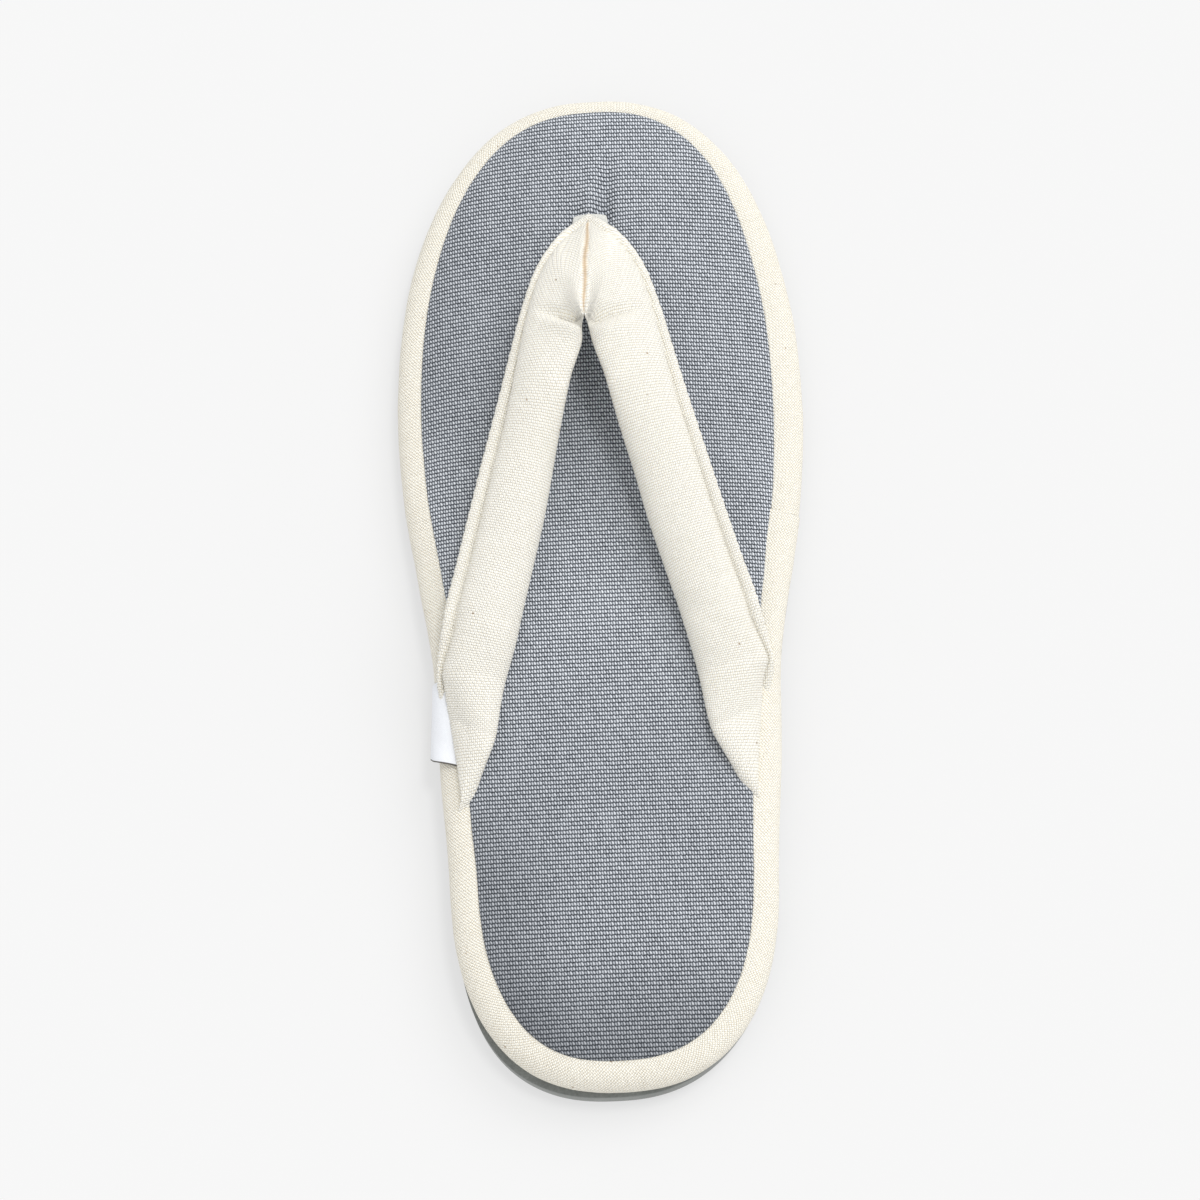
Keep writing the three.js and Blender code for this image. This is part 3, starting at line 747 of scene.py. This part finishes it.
def make_binding():
    start = OUTLINE.run_at(JOIN_Y - LAP)
    length = OUTLINE.around + LAP
    travel = np.linspace(0, length, BINDING_STEPS)
    x, y, nx, ny = OUTLINE.at(start - travel)
    # The stitches pull the lip into small scallops, and it reaches further in at the lap
    lap = smooth(travel, length - LAP - LAP_EASE, length - LAP)
    scallop = np.abs(np.sin(math.pi * travel / STITCH))
    lip = lip_inset(x, y) + 0.6 * lap
    lip = lip + 0.17 * scallop + 0.12 * wobble(np.stack([x, y, 0 * x], -1), 14, 3)
    lift = (LAP_LIFT * lap)[:, None]
    outer_in, outer_h = lifted(*edge_section(lip, 0.0, *OUTER_STEPS), lift, OUTER_STEPS)
    inner_in, inner_h = lifted(*edge_section(lip, TAPE_WALL, *INNER_STEPS), 0.9 * lift, INNER_STEPS)
    # Folded edge of the lip, round
    fold_in = lip[:, None] + np.array([0.22, 0.3, 0.2])
    fold_h = TAPE_HEIGHT + lift - np.array([0.25, 0.6, 0.95])
    leg = np.full((BINDING_STEPS, 1), TAPE_LEG)
    inset = np.concatenate([outer_in, leg, leg, inner_in[:, ::-1], fold_in[:, ::-1]], -1)
    height = np.concatenate([outer_h, 0 * leg, 0 * leg + TAPE_WALL, inner_h[:, ::-1], fold_h[:, ::-1]], -1)
    px = x[:, None] - nx[:, None] * inset
    py = y[:, None] - ny[:, None] * inset
    points = np.stack([px, py, pad_base_z(py) + height], -1)
    face = slice(0, sum(OUTER_STEPS))
    out = np.stack([nx[:, None] + 0 * px, ny[:, None] + 0 * px, 0.6 + 0 * px], -1)
    uneven = 0.1 * wobble(points, 11, 4) + 0.05 * wobble(points, 4, 5)
    points[:, face] += (out * uneven[..., None])[:, face]
    step = np.hypot(np.diff(inset, axis=-1), np.diff(height, axis=-1))
    girth = np.concatenate([0 * leg, np.cumsum(step, -1)], -1)
    weave = np.stack([travel[:, None] + 0 * px, girth, 0 * px], -1)
    faces = grid_faces(BINDING_STEPS, inset.shape[-1], caps=True)
    piece = mesh_object("binding_tape", points.reshape(-1, 3), faces, weave.reshape(-1, 3))
    look = cream_look("binding_canvas", 45, TAPE_STOPS, 0.26)
    return finish_piece(piece, "edge_binding", look)


# Strap
def seat_z(y):
    return foot_z(y) + PAD_CAMBER + TOE_TAPE_WALL - TOE_TAPE_SUNK + CLEARANCE + FLANGE_THICK / 2


def tuck_z(y):
    return pad_base_z(y) + TAPE_HEIGHT - TAPE_WALL - CLEARANCE - FLANGE_THICK / 2


def strap_edge(at, edge):
    x = BALL_WIDTH / 2 * STRAP[edge + "X"](at)
    y = LENGTH * (STRAP[edge + "Y"](at) - 0.5)
    free = seat_z(y) + STRAP_RISE * STRAP[edge + "Rise"](at)
    tuck = STRAP[edge + "Tuck"](at)
    return np.stack([x, y, free * (1 - tuck) + tuck_z(y) * tuck], -1)


STRAP_STEPS = 330
# Places of the sections closest to the front seam, and the one just left of it
SEAM_PLACES = (0, 0.0004, 0.0008, 0.0018, 0.003, 0.0045, 0.0065)
LEFT_OF_SEAM = -0.00005
# How far apart the weaves of the two arms lie in the cloth, and the step that finds an arm's direction
WEAVES_APART = 400
WAY_STEP = 0.002
# Width in mm of the stitched groove, and how far the creases stay above the strap's middle plane
GROOVE_WIDTH = 0.6
THINNEST = 0.1

# Soft folds of the strap: signed place along an arm (left negative), share across from the outer
# edge, the same of the end where it fades, depth in mm and width in mm
STRAP_FOLDS = [
    (-0.24, 1.0, -0.31, 0.70, 0.35, 1.8),
    (-0.05, 0.25, -0.02, 0.75, 0.2, 2.5),
    (0.07, 0.30, 0.02, 0.7, 0.22, 2.5),
    (-0.80, 0.25, -0.90, 0.75, 0.4, 2.6),
    (0.80, 0.2, 0.90, 0.7, 0.4, 2.6),
    (-0.70, 0.3, -0.78, 0.85, 0.2, 2.4),
    (0.68, 0.85, 0.76, 0.3, 0.2, 2.4),
]

# Creases that run out from the crotch, with the soft rolls beside them, in the footbed's columns
CROTCH_CREASES = [
    ((-2.8, CROTCH_Y - 1.8), (-12.5, CROTCH_Y + 2.4), 3.9, 1.35),
    ((-4.3, CROTCH_Y - 4.8), (-10.5, CROTCH_Y - 1.6), -1.5, 2.1),
    ((-3.7, CROTCH_Y + 2.8), (-4.3, CROTCH_Y + 11.0), -0.9, 1.5),
    ((-0.9, CROTCH_Y - 2.2), (12.0, CROTCH_Y + 2.8), 3.3, 1.55),
    ((1.2, CROTCH_Y - 5.8), (9.5, CROTCH_Y - 2.4), -1.4, 2.3),
    ((0.3, CROTCH_Y + 2.8), (1.2, CROTCH_Y + 11.0), -0.8, 1.5),
]

# How far the strap lies to one side of a mirrored one, in mm: at, both edges, and the inner edge more
LEAN_LEFT = [
    {"at": 0.0, "both": -1.0, "inner": -1.0},
    {"at": 0.06, "both": -1.2, "inner": -0.6},
    {"at": 0.14, "both": -1.4, "inner": 0.5},
    {"at": 0.25, "both": -1.6, "inner": -0.1},
    {"at": 0.5, "both": -1.9, "inner": 0.1},
    {"at": 0.7, "both": -1.2, "inner": 0.1},
    {"at": 0.82, "both": -0.4, "inner": -1.8},
    {"at": 0.93, "both": -0.2, "inner": -1.2},
    {"at": 1.0, "both": 0, "inner": -0.6},
]
LEAN_RIGHT = [
    {"at": 0.0, "both": -1.0, "inner": -1.0},
    {"at": 0.08, "both": -0.4, "inner": -1.6},
    {"at": 0.15, "both": -0.1, "inner": -2.0},
    {"at": 0.25, "both": 0, "inner": -1.6},
    {"at": 0.335, "both": 0, "inner": -1.6},
    {"at": 0.5, "both": 0, "inner": -0.7},
    {"at": 0.7, "both": 0, "inner": -0.4},
    {"at": 1.0, "both": 0, "inner": 0},
]
# More length of each tail in mm, and how deep the groove beside the flat edge is on each side
TAIL_MORE = {-1: 3.0, 1: 2.4}
FLANGE_GROOVE = {-1: 1.15, 1: 0.4}
LEAN_ROWS = {-1: LEAN_LEFT, 1: LEAN_RIGHT}
LEANS = {side: (column(rows, "both"), column(rows, "inner")) for side, rows in LEAN_ROWS.items()}


def strap_profile(width, thick, flange):
    """Section across the strap as (along, height), round from the flange's top face."""
    body = (width - flange) / 2
    centre = flange + body
    top, bottom = thick * STRAP_TOP_SHARE, thick * (1 - STRAP_TOP_SHARE)
    along = [flange * share for share in (0.0, 0.07, 0.3, 0.55, 0.75, 0.88, 0.96)]
    height = [0.1, 0.58, 0.93, 1.0, 0.84, 0.58, 0.3]
    for angle in np.linspace(math.pi, 0, 32)[1:]:
        along.append(centre + body * math.cos(angle))
        height.append(max(top * math.sin(angle), 0.3 if angle > math.pi / 2 else 0))
    for angle in np.linspace(0, -math.pi, 16)[1:-1]:
        along.append(centre + body * math.cos(angle))
        height.append(bottom * math.sin(angle))
    along += [flange, flange * 0.45, flange * 0.07, 0.0]
    height += [-0.5, -FLANGE_THICK / 2, -0.7, -0.2]
    return np.array(along), np.array(height)


def cloth_across(along, height):
    """Place in the cloth across the strap: out over the face, and back again under it."""
    step = np.hypot(np.diff(along, append=along[0]), np.diff(height, append=height[0]))
    run = np.concatenate([[0], np.cumsum(step)])
    turn = int(np.argmax(along))
    back = run[turn] * (run[-1] - run[:-1]) / (run[-1] - run[turn])
    return np.where(np.arange(len(along)) <= turn, run[:-1], back)


def shown_flange(at, side, outer, across, width):
    """Width of the strap's flat edge: at the tail, all that runs on under the lip of the tape."""
    reach = np.linspace(0, width * 0.8, 80)
    x, y = outer[0] + reach * across[0], outer[1] + reach * across[1]
    clear = half_width(y) - x > lip_inset(side * x, y) - 0.1
    tucked = reach[np.argmax(clear)] if clear.any() else reach[-1]
    tail = smooth(at, 0.7, 0.8)
    return FLANGE_SHOWN * (1 - tail) + max(tucked, 0.8) * tail


def fold_depth(at, side, share, width, total):
    """How far the strap's face sinks in its folds, with a low ridge beside each."""
    sink = np.zeros_like(share)
    px, py = at * total, share * width
    for fold_at, fold_share, end_at, end_share, depth, wide in STRAP_FOLDS:
        if fold_at * side < 0:
            continue
        ax, ay = abs(fold_at) * total, fold_share * width
        dx, dy = abs(end_at) * total - ax, end_share * width - ay
        t = np.clip(((px - ax) * dx + (py - ay) * dy) / (dx * dx + dy * dy), 0, 1)
        off = np.hypot(px - ax - t * dx, py - ay - t * dy)
        trough = np.exp(-((off / wide) ** 2))
        ridge = 0.35 * np.exp(-(((off - 2 * wide) / wide) ** 2))
        sink += depth * (1 - 0.6 * t) * (trough - ridge)
    return sink


def strap_middle(at):
    """Middle line of the strap, with the left arm on the negative side."""
    half = (strap_edge(abs(at), "outer") + strap_edge(abs(at), "inner")) / 2
    return half * np.array([-1 if at < 0 else 1, 1, 1])


def strap_way(at):
    """Unit vector along the strap's middle line."""
    way = strap_middle(min(at + WAY_STEP, 1)) - strap_middle(min(at, 1 - WAY_STEP) - WAY_STEP)
    return way / np.linalg.norm(way)


def placed_edges(at, side):
    """Outer and inner edge of one arm with its own lean and tail, as if it were the right one."""
    outer, inner = strap_edge(at, "outer"), strap_edge(at, "inner")
    both, only_inner = LEANS[side]
    front = 1 - smooth(at, 0, 0.12)
    tail = TAIL_MORE[side] * smooth(at, 0.88, 1.0)
    outer[0] += 1.3 * smooth(at, 0.72, 0.84) + side * both(at)
    inner[0] += 2.8 * smooth(at, 0.84, 1.0) + side * (both(at) + only_inner(at))
    outer[1] += 0.7 * front - tail
    inner[1] += 0.5 * front - tail
    inner[2] -= 1.5 * smooth(at, 0.9, 1.0) + 3.0 * smooth(at, 0.25, 0.45) * (1 - smooth(at, 0.75, 0.9))
    # The outer edge stays under the lip of the tape
    over = outer[0] - float(half_width(outer[1]) - lip_inset(side * outer[0], outer[1]) + 1.3)
    outer[0] -= max(over, 0) * smooth(at, 0.765, 0.855)
    return outer, inner


def sunk_height(at, side, arc, total, width, flange, along, face):
    """Height of the section with its stitched groove, the front seam and the folds."""
    hole = (0.5 + 0.5 * math.cos(2 * math.pi * arc / STITCH)) ** 3
    stitched = (0.5 + 0.25 * hole) * (1 - smooth(at, 0.8, 0.88)) * FLANGE_GROOVE[side]
    groove = stitched * np.exp(-(((along - flange) / GROOVE_WIDTH) ** 2))
    seam = 0.45 * math.exp(-((arc / 0.5) ** 2)) + 0.25 * math.exp(-((arc / 3.2) ** 2))
    seam = seam * np.clip((along - flange) / 3, 0, 1)
    return face - (groove + seam + fold_depth(at, side, along / width, width, total)) * give(face)


def give(face):
    """How far the padding gives where the strap is thin."""
    return np.minimum(1, face / 1.2 + 0.25)


def creased_height(x, y, face, height):
    """Height with the creases of the crotch, which stay above the strap's middle plane."""
    crease = crease_depth(x, y, CROTCH_CREASES) * give(face)
    low = np.minimum(height, np.maximum(height - crease, THINNEST))
    return np.where(crease > 0, low, height - crease)


def strap_section(at, side, arc, total):
    """Points, places in the cloth and seam line of a section, `arc` mm along an arm of `total` mm."""
    outer, inner = placed_edges(at, side)
    across = inner - outer
    width = np.linalg.norm(across)
    across = across / width
    up = np.cross(across, strap_way(at))
    up = up / np.linalg.norm(up)
    flange = shown_flange(at, side, outer, across, width)
    along, face = strap_profile(width, STRAP_THICK * STRAP_PLUMP * float(STRAP["puff"](at)), flange)
    height = sunk_height(at, side, arc, total, width, flange, along, face)
    if at < 0.5:
        x, y = side * (outer[0] + along * across[0]), outer[1] + along * across[1]
        height = creased_height(x, y, face, height)
    height = np.where(face > 0, height, face)
    ripple = 0.08 * math.sin(2 * math.pi * arc / STITCH) * np.clip(1 - along / flange, 0, 1)
    points = outer + (along + ripple)[:, None] * across + height[:, None] * up
    points[:, 0] *= side

    slant = float(across @ strap_way(max(at, WAY_STEP)))
    cloth = cloth_across(along, face) - width / 2
    cloth_y = cloth * math.sqrt(1 - slant**2) + (WEAVES_APART if side < 0 else 0)
    weave = np.stack([arc + cloth * slant, cloth_y, 0 * along], -1)
    line = np.exp(-(((arc * side + 0.05 * np.sin(along / 2.6)) / 0.15) ** 2))
    tint = 0.7 * line * smooth(along, flange * 0.7, flange * 1.4)
    return points, weave, tint


def make_strap():
    table = np.linspace(0, 1, 400)
    middle = np.array([strap_middle(at) for at in table])
    arcs = np.concatenate([[0], np.cumsum(np.linalg.norm(np.diff(middle, axis=0), axis=1))])
    right = np.concatenate([SEAM_PLACES, np.linspace(0.009, 1, STRAP_STEPS)])
    sections = []
    for place in np.concatenate([-right[:0:-1], [LEFT_OF_SEAM], right]):
        arc = float(np.interp(abs(place), table, arcs))
        sections.append(strap_section(abs(place), -1 if place < 0 else 1, arc, arcs[-1]))
    points, weave, tint = (np.array(part) for part in zip(*sections))
    points[..., 2] += 0.09 * wobble(points, 9, 6) + 0.05 * wobble(points, 4, 7)
    faces = grid_faces(len(sections), points.shape[1], caps=True)
    piece = mesh_object("strap_canvas", points.reshape(-1, 3), faces, weave.reshape(-1, 3), tint)
    look = cream_look("strap_canvas", 90, CREAM_STOPS, 0.3, seam=SEAM_TAN)
    return finish_piece(piece, "strap", look)


def make_toe_tape():
    cols, rows = 25, 13
    w, d = TOE_TAPE_WIDTH / 2, TOE_TAPE_DEPTH / 2
    y0 = APEX_Y - d + 2 * CLEARANCE
    gx, gy = np.meshgrid(np.linspace(-1, 1, cols), np.linspace(-1, 1, rows))
    px = gx * w * np.sqrt(1 - 0.2 * gy**2) - TOE_TAPE_SHIFT
    py = y0 + TOE_TAPE_SHIFT + gy * d * np.sqrt(1 - 0.2 * gx**2)
    surface = foot_z(py) + PAD_CAMBER
    droop = 0.5 * gx**2 + 0.3 * np.clip(gy, 0, 1) ** 3
    top = np.stack([px, py, surface - TOE_TAPE_SUNK + TOE_TAPE_WALL - droop], -1)
    under = top.copy()
    under[..., 2] -= TOE_TAPE_WALL
    points = np.concatenate([top.reshape(-1, 3), under.reshape(-1, 3)])
    faces = []
    shift = rows * cols
    for r in range(rows - 1):
        for c in range(cols - 1):
            a = r * cols + c
            faces.append((a, a + 1, a + cols + 1, a + cols))
            faces.append((shift + a, shift + a + cols, shift + a + cols + 1, shift + a + 1))
    rim = list(range(cols)) + [r * cols + cols - 1 for r in range(1, rows)]
    rim += [(rows - 1) * cols + c for c in range(cols - 2, -1, -1)]
    rim += [r * cols for r in range(rows - 2, 0, -1)]
    for a, b in zip(rim, rim[1:] + rim[:1]):
        faces.append((a, shift + a, shift + b, b))
    weave = np.concatenate([points[:, :2], np.zeros((len(points), 1))], -1)
    piece = mesh_object("toe_tape_cloth", points, faces, weave)
    # The second, darker colour is painted shade in the gaps between the yarns
    look = cloth_tape_look("tape_cloth", srgb(230, 230, 224), srgb(190, 190, 184), 0.35, 0.05)
    return finish_piece(piece, "toe_tape", look)


def make_label():
    front = LENGTH * (0.406 - 0.5) - 2.6
    steps, across = 44, 16
    k = np.linspace(0, 1, across)
    rows = []
    for down in np.append(np.linspace(0, 0.98, steps), (0.984, 1.0)):
        # The end hangs askew: further back where the label runs in under the strap
        y = front - (LABEL_LENGTH - 2.8 + LABEL_ASKEW * (1 - k)) * down
        slope = half_width(y + 0.5) - half_width(y - 0.5)
        size = np.hypot(1, slope)
        nx, ny = -1 / size, -slope / size
        lip = lip_inset(-1.0, y)
        lift = LABEL_LIFT * smooth(down, 0.7, 1.0) * np.sin(math.pi * np.clip(k * 1.15, 0, 1)) ** 0.7
        sides = []
        for wall in (0.0, LABEL_WALL):
            inset, height = edge_section(lip, 0.0, across, 2)
            spot = np.arange(across)
            angle = np.linspace(math.pi / 2, 0, across)
            off = 0.25 + LABEL_WALL - wall + lift
            inset = inset[spot, spot] - off * np.cos(angle) - LABEL_FLARE * down * k**2
            height = height[spot, spot] + off * np.sin(angle)
            px = -half_width(y) - nx * inset
            py = y - ny * inset
            sides.append(np.stack([px, py, pad_base_z(py) + height], -1))
        rows.append(np.concatenate([sides[0], sides[1][::-1]]))
    points = np.array(rows)
    faces = grid_faces(len(rows), points.shape[1], caps=True)
    weave = np.concatenate([points[..., :2], 0 * points[..., :1]], -1)
    # The last two rows are painted dark: a painted shadow under the label's free end
    end_shadow = np.zeros(points.shape[:2])
    end_shadow[-2:] = 1.0
    piece = mesh_object("label_cloth", points.reshape(-1, 3), faces, weave.reshape(-1, 3), end_shadow)
    # The darker colour is painted shade in the gaps between the label's yarns
    white, painted_shade = srgb(248, 250, 254), srgb(228, 231, 237)
    look = cloth_tape_look("label_cloth", white, painted_shade, 0.25, 0.02, seam=LABEL_END_SHADOW)
    finish_piece(piece, "side_label", look)
    return piece


# Stage, with half the floor's width in metres
FLOOR_HALF = 6.0

# Lamps: name, strength, how wide they look in degrees, and the way towards them
LAMPS = [
    ("key", 0.84, 36, (0.85, 0.72, 1.0)),
    ("top", 0.8, 14, (0.3, 0.2, 1.0)),
]


def make_stage():
    mesh = bpy.data.meshes.new("floor")
    corners = [(x * FLOOR_HALF, y * FLOOR_HALF, 0) for x, y in ((-1, -1), (1, -1), (1, 1), (-1, 1))]
    mesh.from_pydata(corners, [], [(0, 1, 2, 3)])
    floor = bpy.data.objects.new("floor", mesh)
    bpy.context.scene.collection.objects.link(floor)
    look = Look("floor")
    look.shader.inputs["Base Color"].default_value = (0.3, 0.3, 0.3, 1)
    look.shader.inputs["Roughness"].default_value = 1.0
    look.shader.inputs["Specular IOR Level"].default_value = 0.0
    look.shader.inputs["Emission Color"].default_value = (1, 1, 1, 1)
    look.shader.inputs["Emission Strength"].default_value = 0.565
    floor.data.materials.append(look.material)

    world = bpy.data.worlds.new("studio")
    bpy.context.scene.world = world
    world.use_nodes = True
    tree = world.node_tree
    fill = tree.nodes["Background"]
    fill.inputs["Color"].default_value = (1, 1, 1, 1)
    fill.inputs["Strength"].default_value = 0.81
    seen = tree.nodes.new("ShaderNodeBackground")
    seen.inputs["Color"].default_value = (1, 1, 1, 1)
    seen.inputs["Strength"].default_value = 0.92
    path = tree.nodes.new("ShaderNodeLightPath")
    either = tree.nodes.new("ShaderNodeMixShader")
    tree.links.new(path.outputs["Is Camera Ray"], either.inputs["Fac"])
    tree.links.new(fill.outputs[0], either.inputs[1])
    tree.links.new(seen.outputs[0], either.inputs[2])
    tree.links.new(either.outputs[0], tree.nodes["World Output"].inputs["Surface"])

    for name, energy, angle, towards in LAMPS:
        lamp = bpy.data.lights.new(name, "SUN")
        lamp.energy = energy
        lamp.angle = math.radians(angle)
        sun = bpy.data.objects.new(name, lamp)
        sun.rotation_euler = Vector(towards).to_track_quat("Z", "Y").to_euler()
        bpy.context.scene.collection.objects.link(sun)


def make_camera():
    camera = bpy.data.objects.new("camera", bpy.data.cameras.new("camera"))
    bpy.context.scene.collection.objects.link(camera)
    camera.data.lens = CAMERA_LENS
    camera.data.sensor_width = 36
    camera.location = CAMERA_PLACE
    back = (Vector(CAMERA_PLACE) - Vector(CAMERA_TARGET)).normalized()
    up_hint = Vector((math.sin(CAMERA_ROLL), math.cos(CAMERA_ROLL), 0))
    right = up_hint.cross(back).normalized()
    up = back.cross(right)
    turn = camera.matrix_world.to_3x3()
    turn.col[0], turn.col[1], turn.col[2] = right, up, back
    camera.rotation_euler = turn.to_euler()
    bpy.context.scene.camera = camera


make_camera()
make_stage()
make_outsole()
make_footbed()
make_binding()
make_strap()
make_toe_tape()
make_label()

bpy.context.scene.view_settings.view_transform = "Standard"
